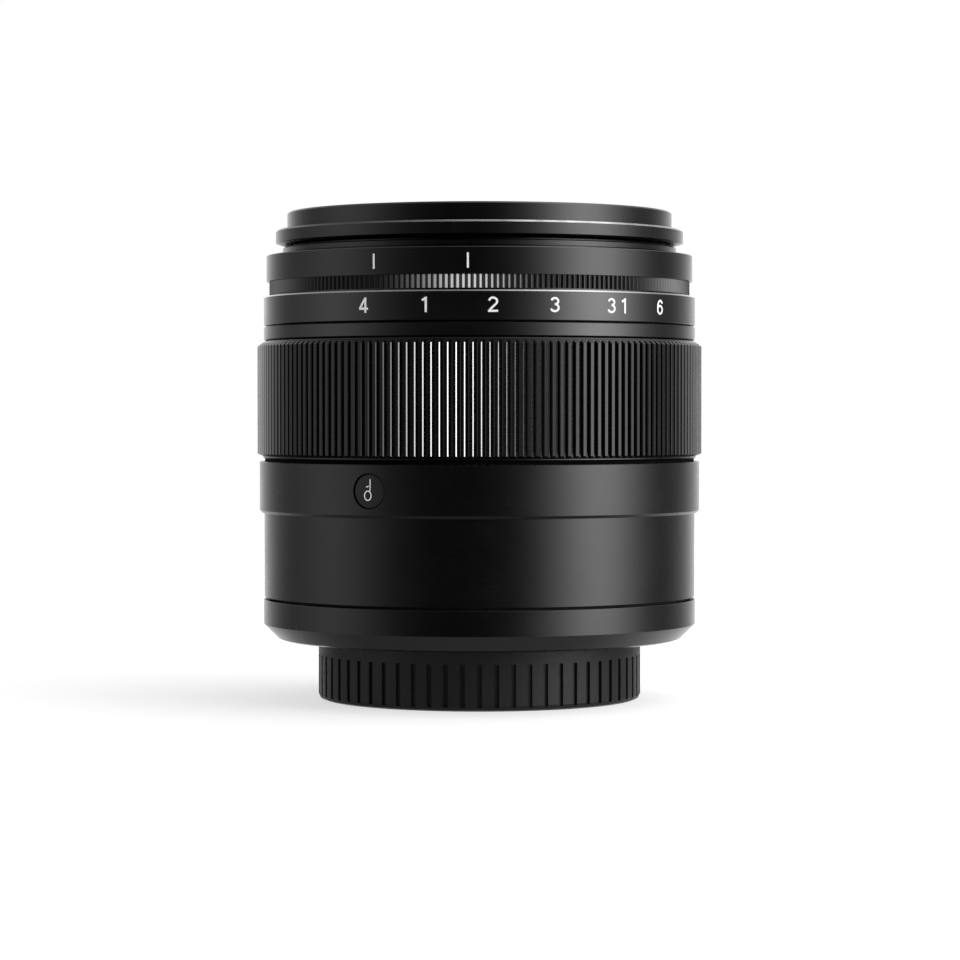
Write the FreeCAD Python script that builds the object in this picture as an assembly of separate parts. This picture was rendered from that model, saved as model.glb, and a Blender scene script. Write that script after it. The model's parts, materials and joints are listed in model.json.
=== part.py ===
import FreeCAD, Part
import math
import os

# Prime camera lens standing on its rear cap, front up.
# The optical axis is +Z, the origin is on the supporting surface under the cap.
# Azimuths are in degrees about +Z, counted from -Y, which is the side with the button.
# Sizes are in millimetres.

# Heights of the outer rings
CAP_TOP = 9.55
MOUNT_PLANE = 9.6
REAR_COVER_BOTTOM = 9.7
REAR_COVER_TOP = 16.2
BARREL_BOTTOM = 16.25
BARREL_TOP = 30.15
BUTTON_RING_TOP = 38.45
FOCUS_BOTTOM = 38.95
FOCUS_TOP = 57.75
TRIM_BOTTOM = 57.95
TRIM_TOP = 60.15
APERTURE_BOTTOM = 60.35
BAND_TOP = 65.0
KNURL_BOTTOM = 65.3
KNURL_TOP = 67.38
INDEX_BOTTOM = 67.4
INDEX_TOP = 71.58
COLLAR_TOP = 72.85
BEZEL_BOTTOM = 73.1
BEZEL_TOP = 78.6
FLANGE_BOTTOM = 73.65
FLANGE_TOP = 75.7
FLANGE_CHAMFER = 0.3

# Radii of the outer rings
CAP_RADIUS = 26.15
REAR_COVER_RADIUS = 35.0
BARREL_RADIUS = 34.9
BUTTON_RING_RADIUS = 35.65
FOCUS_LIP_RADIUS = 35.1
FOCUS_LIP_HEIGHT = 0.33
FOCUS_CARRIER_RADIUS = 34.4
RIB_TOP_RADIUS = 36.0
TRIM_RADIUS = 34.95
KNURL_RADIUS = 34.05
INDEX_RADIUS = 34.5
COLLAR_RADIUS = 31.9
COLLAR_GROOVE_HEIGHT = 0.38
COLLAR_GROOVE_DEPTH = 0.8
BEZEL_RADIUS = 33.0
RIM_RADIUS = 31.15
THREAD_CREST_RADIUS = 28.6
THREAD_ROOT_RADIUS = 29.0
THREAD_PITCH = 0.75
THREAD_TURNS = 4

# Counts of the repeated grips
RIB_COUNT = 176
RIB_WIDTH = 0.8
RIB_DEPTH = 0.6
RIB_CHAMFER = 0.15
KNURL_COUNT = 243
KNURL_DEPTH = 0.26
CAP_SLOT_COUNT = 62
CAP_SLOT_WIDTH = 0.8
CAP_SLOT_DEPTH = 0.5

# Nested sleeves: fixed guide barrel, cam sleeve outside it, sliding barrel inside it
GUIDE_INNER = 30.4
GUIDE_OUTER = 31.8
RUNNING_GAP = 0.06
JOINED_GAP = 0.02
SLIDER_OUTER = 30.33
SLIDER_INNER = 29.3
CAM_OUTER = 33.3
SKIN_INNER = 33.9

# Focus drive
FOCUS_TURN = 105.0
FOCUS_LEAD = 18.0
FOCUS_TRAVEL = FOCUS_LEAD * FOCUS_TURN / 360.0
FOLLOWER_RADIUS = 1.5
FOLLOWER_HEIGHT = 44.5
FOLLOWER_AZIMUTHS = (95.0, 215.0, 335.0)
CAM_SCREW_AZIMUTH = 90.0
CAM_SCREW_HEIGHT = 54.2
CAM_SCREW_RADIUS = 0.8
CAM_SCREW_HEAD = 1.4

# Aperture drive: the ring turns from OPEN_TURN to CLOSED_TURN, rest is 0
OPEN_TURN = 28.0
CLOSED_TURN = -57.0
BLADE_COUNT = 9
BLADE_SWING = 31.0
BLADE_RATIO = BLADE_SWING / (OPEN_TURN - CLOSED_TURN)
BLADE_INNER = 15.2
BLADE_OUTER = 22.2
BLADE_SPAN = 118.0
BLADE_THICKNESS = 0.12
BLADE_PITCH = 0.2
BLADE_BOTTOM = 52.65
IRIS_BASE_BOTTOM = 51.62
PIVOT_CIRCLE = 25.5
PIVOT_RADIUS = 0.5
DRIVE_ARM = 6.8
DRIVE_ARM_ANGLE = -118.0
DRIVE_PIN_RADIUS = 0.45
IRIS_GAP = 0.08
IRIS_RING_BOTTOM = 54.5
IRIS_RING_TOP = 55.45
LEVER_AZIMUTH = 180.0
LEVER_WIDTH = 3.0
LEVER_BOTTOM = 62.0
LEVER_TOP = 64.0
CLICK_AZIMUTH = 90.0
CLICK_CIRCLE = 32.9
CLICK_STEPS = 10
CLICK_BALL_RADIUS = 0.6
CLICK_BALL_SINK = 0.45

# Button and its switch
BUTTON_AZIMUTH = -28.4
BUTTON_HEIGHT = 34.3
BUTTON_RADIUS = 2.55
BUTTON_GAP = 0.22
BUTTON_FACE = 35.4
BUTTON_FLANGE_RADIUS = 3.2
BUTTON_STEM_RADIUS = 0.9
BUTTON_STEM_END = 33.1
BUTTON_TRAVEL = 0.6
FLEX_WIDTH = 2.6
BOARD_BOTTOM = 20.3
BOARD_TOP = 21.1

# Mount
SPIGOT_INNER = 20.5
SPIGOT_OUTER = 22.5
SPIGOT_BOTTOM = 4.1
LUG_RADIUS = 24.3
MOUNT_PLATE_RADIUS = 29.4
MOUNT_PLATE_TOP = 11.2
MOUNT_SCREW_CIRCLE = 27.0
MOUNT_SCREW_RADIUS = 1.0
MOUNT_SCREW_HEAD = 1.9
SHIM_TOP = 11.35
CONTACT_CIRCLE = 18.5
CONTACT_RADIUS = 0.45
CONTACT_COUNT = 10
CONTACT_STEP = 6
CONTACT_BLOCK_TOP = 8.6
CHASSIS_STEP = 12.5
CHASSIS_TOP = 17.0
FOOT_TOP = 19.0
FOOT_SCREW_CIRCLE = 32.85
CELL_SCREW_CIRCLE = 28.1
SMALL_SCREW_RADIUS = 0.6

# Glass elements: rim radius, then the vertex height and the curvature radius of the front
# surface and of the back surface. A negative curvature rises towards the rim.
GLASS_GAP = 0.05
ELEMENTS = {
    "glass_1": (22.8, 75.0, 52.0, 69.4, 220.0),
    "glass_2": (19.8, 68.5, 34.0, 62.2, 62.0),
    "glass_3": (15.0, 61.2, 70.0, 60.0, 36.0),
    "glass_4": (15.0, 45.0, -26.0, 43.4, 80.0),
    "glass_5": (17.0, 43.35, 80.0, 35.2, -30.0),
    "glass_6": (17.0, 34.6, 70.0, 28.0, -46.0),
    "glass_7": (17.0, 25.6, -60.0, 23.6, -200.0),
}

Z_AXIS = FreeCAD.Vector(0, 0, 1)
ORIGIN = FreeCAD.Vector(0, 0, 0)


def at(azimuth, radius, height):
    """The point at this azimuth, distance from the axis and height."""
    angle = math.radians(azimuth)
    return FreeCAD.Vector(radius * math.sin(angle), -radius * math.cos(angle), height)


def outward(azimuth):
    """The unit vector that points away from the axis at this azimuth."""
    return at(azimuth, 1, 0)


def turned(outline):
    """A full turn of a closed outline of (radius, height) points about the optical axis."""
    points = [FreeCAD.Vector(radius, 0, height) for radius, height in outline]
    face = Part.Face(Part.makePolygon(points + points[:1]))
    return face.revolve(ORIGIN, Z_AXIS, 360)


def tube(inner, outer, bottom, top):
    return turned([(inner, bottom), (outer, bottom), (outer, top), (inner, top)])


def sector(inner, outer, bottom, top, start, sweep):
    """A stretch of a tube that starts at one azimuth and sweeps on from there."""
    base = FreeCAD.Vector(0, 0, bottom)
    wedge = Part.makeCylinder(outer, top - bottom, base, Z_AXIS, sweep)
    wedge = wedge.cut(Part.makeCylinder(inner, top - bottom, base))
    wedge.rotate(ORIGIN, Z_AXIS, start - 90)
    return wedge


def radial_pin(radius, inner, outer, azimuth, height):
    return Part.makeCylinder(radius, outer - inner, at(azimuth, inner, height), outward(azimuth))


def axial_pin(radius, bottom, top, azimuth, distance):
    return Part.makeCylinder(radius, top - bottom, at(azimuth, distance, bottom))


def radial_block(inner, outer, bottom, top, width, azimuth):
    """A box that points outward, centred on one azimuth."""
    block = Part.makeBox(width, outer - inner, top - bottom, FreeCAD.Vector(-width / 2, -outer, bottom))
    block.rotate(ORIGIN, Z_AXIS, azimuth)
    return block


def around(shape, count, start=0.0):
    """Evenly spaced copies of a shape about the optical axis."""
    copies = []
    for number in range(count):
        copy = shape.copy()
        copy.rotate(ORIGIN, Z_AXIS, start + 360.0 * number / count)
        copies.append(copy)
    return copies


def toothed(outline_of_one, count, bottom, top):
    """A prism whose outline repeats (azimuth, radius) points of one tooth about the axis."""
    pitch = 360.0 / count
    points = []
    for number in range(count):
        points += [at(number * pitch + turn, radius, bottom) for turn, radius in outline_of_one]
    face = Part.Face(Part.makePolygon(points + points[:1]))
    return face.extrude(FreeCAD.Vector(0, 0, top - bottom))


# Rear cap and mount


def rear_cap():
    """Bayonet cap: a shallow cup with a slotted rim and three inner lugs."""
    inner = CAP_RADIUS - 1.25
    rounding = 0.9
    cup = turned([
        (0, 0.3), (20, 0.3), (20.3, 0), (CAP_RADIUS - rounding, 0),
        (CAP_RADIUS - 0.26, 0.26), (CAP_RADIUS, rounding), (CAP_RADIUS, CAP_TOP - 0.25),
        (CAP_RADIUS - 0.25, CAP_TOP), (inner, CAP_TOP), (inner, 1.7), (0, 1.7),
    ])
    slot = radial_block(CAP_RADIUS - CAP_SLOT_DEPTH, CAP_RADIUS + 1, 0.65, 7.3, CAP_SLOT_WIDTH, 0)
    cup = cup.cut(Part.makeCompound(around(slot, CAP_SLOT_COUNT)))
    # the cap's lugs sit above the mount's lugs, between them in azimuth
    lug = sector(22.9, inner + 0.3, 6.6, 8.0, 42.5, 35)
    return cup.fuse(around(lug, 3))


def mount_flange():
    """Bayonet plate with its spigot, three lugs, screw holes and lock hole."""
    flange = turned([
        (SPIGOT_INNER, SPIGOT_BOTTOM), (SPIGOT_OUTER - 0.3, SPIGOT_BOTTOM),
        (SPIGOT_OUTER, SPIGOT_BOTTOM + 0.3), (SPIGOT_OUTER, MOUNT_PLANE),
        (MOUNT_PLATE_RADIUS, MOUNT_PLANE), (MOUNT_PLATE_RADIUS, MOUNT_PLATE_TOP),
        (SPIGOT_INNER, MOUNT_PLATE_TOP),
    ])
    lug = sector(SPIGOT_OUTER - 0.3, LUG_RADIUS, SPIGOT_BOTTOM + 0.5, SPIGOT_BOTTOM + 2.0, -25, 50)
    flange = flange.fuse(around(lug, 3))
    shank = axial_pin(MOUNT_SCREW_RADIUS + 0.1, MOUNT_PLANE - 1, MOUNT_PLATE_TOP + 1, 0, MOUNT_SCREW_CIRCLE)
    head = axial_pin(MOUNT_SCREW_HEAD + 0.05, MOUNT_PLANE - 1, MOUNT_PLANE + 1.05, 0, MOUNT_SCREW_CIRCLE)
    flange = flange.cut(around(shank, 6, 30)).cut(around(head, 6, 30))
    lock_hole = axial_pin(0.9, MOUNT_PLANE - 1, MOUNT_PLATE_TOP + 1, 120, 27.6)
    index_recess = axial_pin(0.7, MOUNT_PLANE - 1, MOUNT_PLANE + 0.2, 0, 27.9)
    return flange.cut([lock_hole, index_recess])


def cross_recess(azimuth, distance, top, reach, depth):
    """The cross that a screwdriver fits, cut upward into a head that faces down."""
    centre = at(azimuth, distance, top)
    bars = []
    arm = 0.35
    for long_side, short_side in ((reach, arm), (arm, reach)):
        corner = FreeCAD.Vector(centre.x - long_side / 2, centre.y - short_side / 2, top)
        bars.append(Part.makeBox(long_side, short_side, depth, corner))
    return bars


def mount_screws():
    """Six cross-head screws that hold the bayonet plate to the chassis."""
    head_bottom = MOUNT_PLANE + 0.05
    head = axial_pin(MOUNT_SCREW_HEAD, head_bottom, MOUNT_PLANE + 1.03, 0, MOUNT_SCREW_CIRCLE)
    screw = head.fuse(axial_pin(MOUNT_SCREW_RADIUS, MOUNT_PLANE + 1, 16, 0, MOUNT_SCREW_CIRCLE))
    screw = screw.cut(cross_recess(0, MOUNT_SCREW_CIRCLE, head_bottom, 2.2, 0.55))
    return Part.makeCompound(around(screw, 6, 30))


def mount_shim():
    """Thin ring that sets the distance from the mount to the optics."""
    shim = tube(23.0, MOUNT_PLATE_RADIUS, MOUNT_PLATE_TOP + JOINED_GAP, SHIM_TOP)
    return shim.cut(around(axial_pin(MOUNT_SCREW_RADIUS + 0.1, 11, 12, 0, MOUNT_SCREW_CIRCLE), 6, 30))


def rear_chassis():
    """Frame that carries the mount below and the guide barrel above."""
    inner = 22.8
    bottom = SHIM_TOP + JOINED_GAP
    chassis = turned([
        (inner, bottom), (MOUNT_PLATE_RADIUS, bottom), (MOUNT_PLATE_RADIUS, CHASSIS_STEP),
        (SKIN_INNER - 0.05, CHASSIS_STEP), (SKIN_INNER - 0.05, CHASSIS_TOP), (inner, CHASSIS_TOP),
    ])
    mount_hole = axial_pin(MOUNT_SCREW_RADIUS + JOINED_GAP, 11, 16.1, 0, MOUNT_SCREW_CIRCLE)
    foot_hole = axial_pin(SMALL_SCREW_RADIUS + JOINED_GAP, 12.9, 18, 0, FOOT_SCREW_CIRCLE)
    return chassis.cut(around(mount_hole, 6, 30)).cut(around(foot_hole, 4, 45))


def rear_baffle():
    """Light baffle in the throat: a thin sleeve closed by a plate with a rectangular opening."""
    outer = SPIGOT_INNER - 0.05
    plate_bottom = 11.4
    width = 26.0
    height = 22.0
    baffle = tube(19.9, outer, SPIGOT_BOTTOM + 0.3, plate_bottom)
    plate = Part.makeCylinder(outer, 0.8, FreeCAD.Vector(0, 0, plate_bottom))
    opening = Part.makeBox(width, height, 3, FreeCAD.Vector(-width / 2, -height / 2, plate_bottom - 1))
    return baffle.fuse(plate).cut(opening)


def contact_block():
    """Curved plastic block that carries the electric contacts."""
    block = sector(17.2, 19.85, SPIGOT_BOTTOM + 0.2, CONTACT_BLOCK_TOP, 145, 70)
    seats = [axial_pin(CONTACT_RADIUS + JOINED_GAP, 4, 6.1, azimuth, CONTACT_CIRCLE)
             for azimuth in contact_azimuths()]
    return block.cut(seats)


def contact_azimuths():
    """The contacts are spaced evenly about the azimuth 180."""
    first = 180 - CONTACT_STEP * (CONTACT_COUNT - 1) / 2
    return [first + CONTACT_STEP * number for number in range(CONTACT_COUNT)]


def contact_pins():
    pins = [axial_pin(CONTACT_RADIUS, SPIGOT_BOTTOM + 0.05, 6.0, azimuth, CONTACT_CIRCLE)
            for azimuth in contact_azimuths()]
    return Part.makeCompound(pins)


# Fixed shells


def rear_cover():
    """Bottom ring with a wide chamfer around the mount."""
    chamfer = 2.55
    rounding = 0.25
    lip = 0.6
    return turned([
        (MOUNT_PLATE_RADIUS + 0.05, REAR_COVER_BOTTOM),
        (REAR_COVER_RADIUS - chamfer - 2 * rounding, REAR_COVER_BOTTOM),
        (REAR_COVER_RADIUS - chamfer + rounding, REAR_COVER_BOTTOM + rounding),
        (REAR_COVER_RADIUS, REAR_COVER_BOTTOM + chamfer),
        (REAR_COVER_RADIUS, REAR_COVER_TOP - 0.05), (REAR_COVER_RADIUS - 0.05, REAR_COVER_TOP),
        (REAR_COVER_RADIUS - lip, REAR_COVER_TOP),
        (SKIN_INNER, REAR_COVER_TOP), (SKIN_INNER, CHASSIS_STEP - JOINED_GAP),
        (MOUNT_PLATE_RADIUS + 0.05, CHASSIS_STEP - JOINED_GAP),
    ])


def rear_barrel():
    """Smooth rear shell, stepped in at the bottom so that a dark groove shows above the rear cover."""
    groove_top = BARREL_BOTTOM + 0.36
    groove_floor = SKIN_INNER + 0.2
    return turned([
        (SKIN_INNER, BARREL_BOTTOM), (groove_floor, BARREL_BOTTOM), (groove_floor, groove_top),
        (BARREL_RADIUS - 0.08, groove_top), (BARREL_RADIUS, groove_top + 0.08),
        (BARREL_RADIUS, BARREL_TOP - JOINED_GAP), (SKIN_INNER, BARREL_TOP - JOINED_GAP),
    ])


def button_ring():
    """Proud ring that houses the function button."""
    ring = turned([
        (33.2, BARREL_TOP), (35.2, BARREL_TOP), (BUTTON_RING_RADIUS, BARREL_TOP + 0.45),
        (BUTTON_RING_RADIUS, BUTTON_RING_TOP - 0.12), (BUTTON_RING_RADIUS - 0.12, BUTTON_RING_TOP),
        (GUIDE_OUTER + JOINED_GAP, BUTTON_RING_TOP), (GUIDE_OUTER + JOINED_GAP, 37.3),
        (33.2, 37.3),
    ])
    bore = radial_pin(BUTTON_RADIUS + BUTTON_GAP, 32, 37, BUTTON_AZIMUTH, BUTTON_HEIGHT)
    pocket = radial_pin(BUTTON_FLANGE_RADIUS + 0.1, 32, 34.3, BUTTON_AZIMUTH, BUTTON_HEIGHT)
    return ring.cut([bore, pocket])


def function_button():
    """Round button with a retaining flange and a stem that meets the switch."""
    back = 33.6
    cap = radial_pin(BUTTON_RADIUS, back, BUTTON_FACE + 1, BUTTON_AZIMUTH, BUTTON_HEIGHT)
    cap = cap.common(Part.makeCylinder(BUTTON_FACE, 20, FreeCAD.Vector(0, 0, BUTTON_HEIGHT - 10)))
    flange = radial_pin(BUTTON_FLANGE_RADIUS, back, back + 0.55, BUTTON_AZIMUTH, BUTTON_HEIGHT)
    stem = radial_pin(BUTTON_STEM_RADIUS, BUTTON_STEM_END, back + 0.1, BUTTON_AZIMUTH, BUTTON_HEIGHT)
    return cap.fuse([flange, stem])


def button_switch():
    """Tact switch in a pocket of the guide barrel."""
    body = radial_block(30.95, 32.1, 32.3, 36.3, 4.0, BUTTON_AZIMUTH)
    plunger_end = BUTTON_STEM_END - BUTTON_TRAVEL - 0.05
    return body.fuse(radial_pin(BUTTON_STEM_RADIUS, 32.0, plunger_end, BUTTON_AZIMUTH, BUTTON_HEIGHT))


def flex_cable():
    """Flat cable from the circuit board to the switch."""
    thickness = 0.15
    bottom = BOARD_TOP + 0.05
    outer = 32.02
    foot = radial_block(28.5, outer, bottom, bottom + thickness, FLEX_WIDTH, BUTTON_AZIMUTH)
    riser = radial_block(outer - thickness, outer, bottom, 32.28, FLEX_WIDTH, BUTTON_AZIMUTH)
    return foot.fuse(riser)


def circuit_board():
    """Ring-shaped board with its chips."""
    board = tube(22.6, 30.2, BOARD_BOTTOM, BOARD_TOP)
    chips = [radial_block(24.5, 28.5, BOARD_BOTTOM - 0.9, BOARD_BOTTOM + 0.05, 5.0, azimuth)
             for azimuth in (60, 130, 200, 290)]
    return board.fuse(chips)


def guide_barrel():
    """Fixed inner barrel: three straight slots guide the focus followers."""
    barrel = turned([
        (GUIDE_INNER, CHASSIS_TOP), (SKIN_INNER - 0.05, CHASSIS_TOP), (SKIN_INNER - 0.05, FOOT_TOP),
        (GUIDE_OUTER, FOOT_TOP), (GUIDE_OUTER, INDEX_TOP - JOINED_GAP),
        (GUIDE_INNER, INDEX_TOP - JOINED_GAP),
    ])
    half_slot = FOLLOWER_RADIUS + RUNNING_GAP
    cutters = []
    for azimuth in FOLLOWER_AZIMUTHS:
        low = FOLLOWER_HEIGHT - 0.2
        high = FOLLOWER_HEIGHT + FOCUS_TRAVEL + 0.2
        cutters.append(radial_pin(half_slot, 29, 33, azimuth, low))
        cutters.append(radial_pin(half_slot, 29, 33, azimuth, high))
        cutters.append(radial_block(29, 33, low, high, 2 * half_slot, azimuth))
    cutters.append(lever_window(29, 33, LEVER_BOTTOM - 0.3, LEVER_TOP + 0.3))
    cutters.append(radial_block(30.9, 33, 32.2, 36.4, 4.1, BUTTON_AZIMUTH))
    cutters.append(radial_block(29, 33, BOARD_TOP - 0.2, BOARD_TOP + 0.4, FLEX_WIDTH + 0.4, BUTTON_AZIMUTH))
    cutters += around(axial_pin(SMALL_SCREW_RADIUS + JOINED_GAP, 16, 20, 0, FOOT_SCREW_CIRCLE), 4, 45)
    return barrel.cut(cutters)


def lever_window(inner, outer, bottom, top):
    """The space that the aperture lever sweeps, as a cutter."""
    margin = 4.0
    sweep = OPEN_TURN - CLOSED_TURN + 2 * margin
    return sector(inner, outer, bottom, top, LEVER_AZIMUTH + CLOSED_TURN - margin, sweep)


def barrel_screws():
    """Four screws through the foot of the guide barrel into the chassis."""
    head = axial_pin(0.95, FOOT_TOP + JOINED_GAP, FOOT_TOP + 0.8, 0, FOOT_SCREW_CIRCLE)
    screw = head.fuse(axial_pin(SMALL_SCREW_RADIUS, 13.0, FOOT_TOP + 0.1, 0, FOOT_SCREW_CIRCLE))
    slot = radial_block(32, 34, FOOT_TOP + 0.5, FOOT_TOP + 1, 0.3, 0)
    return Part.makeCompound(around(screw.cut(slot), 4, 45))


def focus_washer():
    """Low-friction ring between the button ring and the focus ring."""
    return tube(32.3, FOCUS_LIP_RADIUS - 0.3, BUTTON_RING_TOP + JOINED_GAP, FOCUS_BOTTOM - 0.05)


def trim_band():
    """Narrow fixed band between the focus ring and the aperture ring."""
    return turned([
        (GUIDE_OUTER + JOINED_GAP, TRIM_BOTTOM), (TRIM_RADIUS - 0.15, TRIM_BOTTOM),
        (TRIM_RADIUS, TRIM_BOTTOM + 0.15), (TRIM_RADIUS, TRIM_TOP - 0.15),
        (TRIM_RADIUS - 0.15, TRIM_TOP), (GUIDE_OUTER + JOINED_GAP, TRIM_TOP),
    ])


def index_ring():
    """Fixed ring that carries the two index lines and houses the click spring."""
    ring = turned([
        (GUIDE_OUTER + JOINED_GAP, INDEX_BOTTOM), (INDEX_RADIUS, INDEX_BOTTOM),
        (INDEX_RADIUS, INDEX_TOP - 0.1), (INDEX_RADIUS - 0.1, INDEX_TOP),
        (GUIDE_OUTER + JOINED_GAP, INDEX_TOP),
    ])
    pocket = axial_pin(CLICK_BALL_RADIUS + 0.15, 66, 70.6, CLICK_AZIMUTH, CLICK_CIRCLE)
    return ring.cut(pocket)


def front_collar():
    """Thin ring that closes the fixed barrel around the sliding neck, with a dark groove at its foot."""
    groove_floor = COLLAR_RADIUS - COLLAR_GROOVE_DEPTH
    groove_top = INDEX_TOP + COLLAR_GROOVE_HEIGHT
    return turned([
        (SLIDER_OUTER + 0.08, INDEX_TOP), (groove_floor, INDEX_TOP), (groove_floor, groove_top),
        (COLLAR_RADIUS, groove_top), (COLLAR_RADIUS, COLLAR_TOP - 0.15), (COLLAR_RADIUS - 0.15, COLLAR_TOP),
        (SLIDER_OUTER + 0.08, COLLAR_TOP),
    ])


# Focus drive


def focus_ring():
    """Metal carrier of the focus grip, with a lip under the grip."""
    lip_top = FOCUS_BOTTOM + FOCUS_LIP_HEIGHT
    ring = turned([
        (32.3, FOCUS_BOTTOM), (FOCUS_LIP_RADIUS - 0.15, FOCUS_BOTTOM),
        (FOCUS_LIP_RADIUS, FOCUS_BOTTOM + 0.15), (FOCUS_LIP_RADIUS, lip_top),
        (FOCUS_CARRIER_RADIUS, lip_top), (FOCUS_CARRIER_RADIUS, FOCUS_TOP - 0.1),
        (CAM_OUTER + JOINED_GAP, FOCUS_TOP - 0.1), (CAM_OUTER + JOINED_GAP, 40.9), (32.3, 40.9),
    ])
    shank_hole = radial_pin(CAM_SCREW_RADIUS + JOINED_GAP, 33, 36, 0, CAM_SCREW_HEIGHT)
    head_recess = radial_pin(CAM_SCREW_HEAD + JOINED_GAP, 33.78, 36, 0, CAM_SCREW_HEIGHT)
    return ring.cut(around(shank_hole.fuse(head_recess), 3, CAM_SCREW_AZIMUTH))


def focus_grip():
    """Grip sleeve with fine straight ribs; the grooves run out on a cone above the lip."""
    valley = RIB_TOP_RADIUS - RIB_DEPTH
    flank = math.degrees(RIB_WIDTH / 2 / RIB_TOP_RADIUS)
    crown = math.degrees((RIB_WIDTH / 2 - RIB_CHAMFER) / RIB_TOP_RADIUS)
    shoulder = RIB_TOP_RADIUS - 0.8 * RIB_CHAMFER
    rib = [(-flank, valley), (-flank, shoulder), (-crown, RIB_TOP_RADIUS),
           (crown, RIB_TOP_RADIUS), (flank, shoulder), (flank, valley)]
    bore = FOCUS_CARRIER_RADIUS + JOINED_GAP
    low = FOCUS_BOTTOM + FOCUS_LIP_HEIGHT + JOINED_GAP
    sleeve = toothed(rib, RIB_COUNT, low, FOCUS_TOP)
    beyond = RIB_TOP_RADIUS + 0.1
    envelope = turned([
        (bore, low), (FOCUS_LIP_RADIUS, low), (RIB_TOP_RADIUS, low + 0.4), (beyond, low + 0.45),
        (beyond, FOCUS_TOP - 0.85), (RIB_TOP_RADIUS, FOCUS_TOP - 0.8),
        (RIB_TOP_RADIUS - 0.9, FOCUS_TOP - 0.1), (RIB_TOP_RADIUS - 1, FOCUS_TOP), (bore, FOCUS_TOP),
    ])
    run_out = turned([
        (bore, low), (FOCUS_LIP_RADIUS, low), (FOCUS_LIP_RADIUS + 0.5, low + 0.25),
        (valley, low + 1.1), (bore, low + 1.1),
    ])
    return sleeve.common(envelope).fuse(run_out)


def cam_sleeve():
    """Sleeve inside the focus ring; its helical slots drive the followers."""
    sleeve = tube(GUIDE_OUTER + RUNNING_GAP, CAM_OUTER, 41.0, 56.5)
    half_slot = FOLLOWER_RADIUS + RUNNING_GAP
    helix = Part.makeHelix(FOCUS_LEAD, FOCUS_TRAVEL, (GUIDE_OUTER + CAM_OUTER) / 2)
    half_band = half_slot + 0.05
    within = 30.5
    beyond = 34.5
    profile = Part.makePolygon([
        FreeCAD.Vector(within, 0, -half_band), FreeCAD.Vector(beyond, 0, -half_band),
        FreeCAD.Vector(beyond, 0, half_band), FreeCAD.Vector(within, 0, half_band),
        FreeCAD.Vector(within, 0, -half_band),
    ])
    band = Part.Wire(helix.Edges).makePipeShell([profile], True, True)
    band.rotate(ORIGIN, Z_AXIS, -90)
    band.translate(FreeCAD.Vector(0, 0, FOLLOWER_HEIGHT))
    slot = [band, radial_pin(half_slot, within, beyond, 0, FOLLOWER_HEIGHT),
            radial_pin(half_slot, within, beyond, FOCUS_TURN, FOLLOWER_HEIGHT + FOCUS_TRAVEL)]
    for azimuth in FOLLOWER_AZIMUTHS:
        for piece in slot:
            cutter = piece.copy()
            cutter.rotate(ORIGIN, Z_AXIS, azimuth)
            sleeve = sleeve.cut(cutter)
    screw_hole = radial_pin(CAM_SCREW_RADIUS + JOINED_GAP, 31, 34, 0, CAM_SCREW_HEIGHT)
    return sleeve.cut(around(screw_hole, 3, CAM_SCREW_AZIMUTH))


def cam_screws():
    """Three screws that join the focus ring and the cam sleeve under the grip."""
    shank = radial_pin(CAM_SCREW_RADIUS, 32.0, 33.9, 0, CAM_SCREW_HEIGHT)
    head = radial_pin(CAM_SCREW_HEAD, 33.8, FOCUS_CARRIER_RADIUS - 0.05, 0, CAM_SCREW_HEIGHT)
    return Part.makeCompound(around(shank.fuse(head), 3, CAM_SCREW_AZIMUTH))


def follower_pins():
    """Three pins on the sliding barrel that run in the guide slots and the cam slots."""
    pins = [radial_pin(FOLLOWER_RADIUS, 29.0, 33.0, azimuth, FOLLOWER_HEIGHT)
            for azimuth in FOLLOWER_AZIMUTHS]
    return Part.makeCompound(pins)


# Aperture ring and click stop


def aperture_ring():
    """Aperture ring: smooth band for the scale below, fine knurl above, click notches on top."""
    neck = KNURL_RADIUS - KNURL_DEPTH - 0.3
    band = turned([
        (GUIDE_OUTER + RUNNING_GAP, APERTURE_BOTTOM), (TRIM_RADIUS - 0.1, APERTURE_BOTTOM),
        (TRIM_RADIUS, APERTURE_BOTTOM + 0.1), (TRIM_RADIUS, BAND_TOP - 0.25),
        (TRIM_RADIUS - 0.25, BAND_TOP), (neck, BAND_TOP), (neck, KNURL_BOTTOM),
        (GUIDE_OUTER + RUNNING_GAP, KNURL_BOTTOM),
    ])
    pitch = 360.0 / KNURL_COUNT
    valley = 0.48 * pitch
    crest = 0.04 * pitch
    tooth = [(-valley, KNURL_RADIUS - KNURL_DEPTH), (-crest, KNURL_RADIUS),
             (crest, KNURL_RADIUS), (valley, KNURL_RADIUS - KNURL_DEPTH)]
    knurl = toothed(tooth, KNURL_COUNT, KNURL_BOTTOM, KNURL_TOP)
    knurl = knurl.cut(Part.makeCylinder(GUIDE_OUTER + RUNNING_GAP, 10, FreeCAD.Vector(0, 0, 60)))
    half_groove = CLICK_BALL_RADIUS + 0.05
    groove = tube(CLICK_CIRCLE - half_groove, CLICK_CIRCLE + half_groove,
                  KNURL_TOP - CLICK_BALL_SINK - 0.05, KNURL_TOP + 1)
    step = (OPEN_TURN - CLOSED_TURN) / CLICK_STEPS
    first = CLICK_AZIMUTH - OPEN_TURN
    notches = [axial_pin(0.35, KNURL_TOP - 0.8, KNURL_TOP, first + step * number, CLICK_CIRCLE)
               for number in range(CLICK_STEPS + 1)]
    seat = radial_block(31, 33.2, LEVER_BOTTOM, LEVER_TOP, LEVER_WIDTH + 2 * JOINED_GAP, LEVER_AZIMUTH)
    return band.fuse(knurl).cut([groove, seat] + notches)


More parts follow.
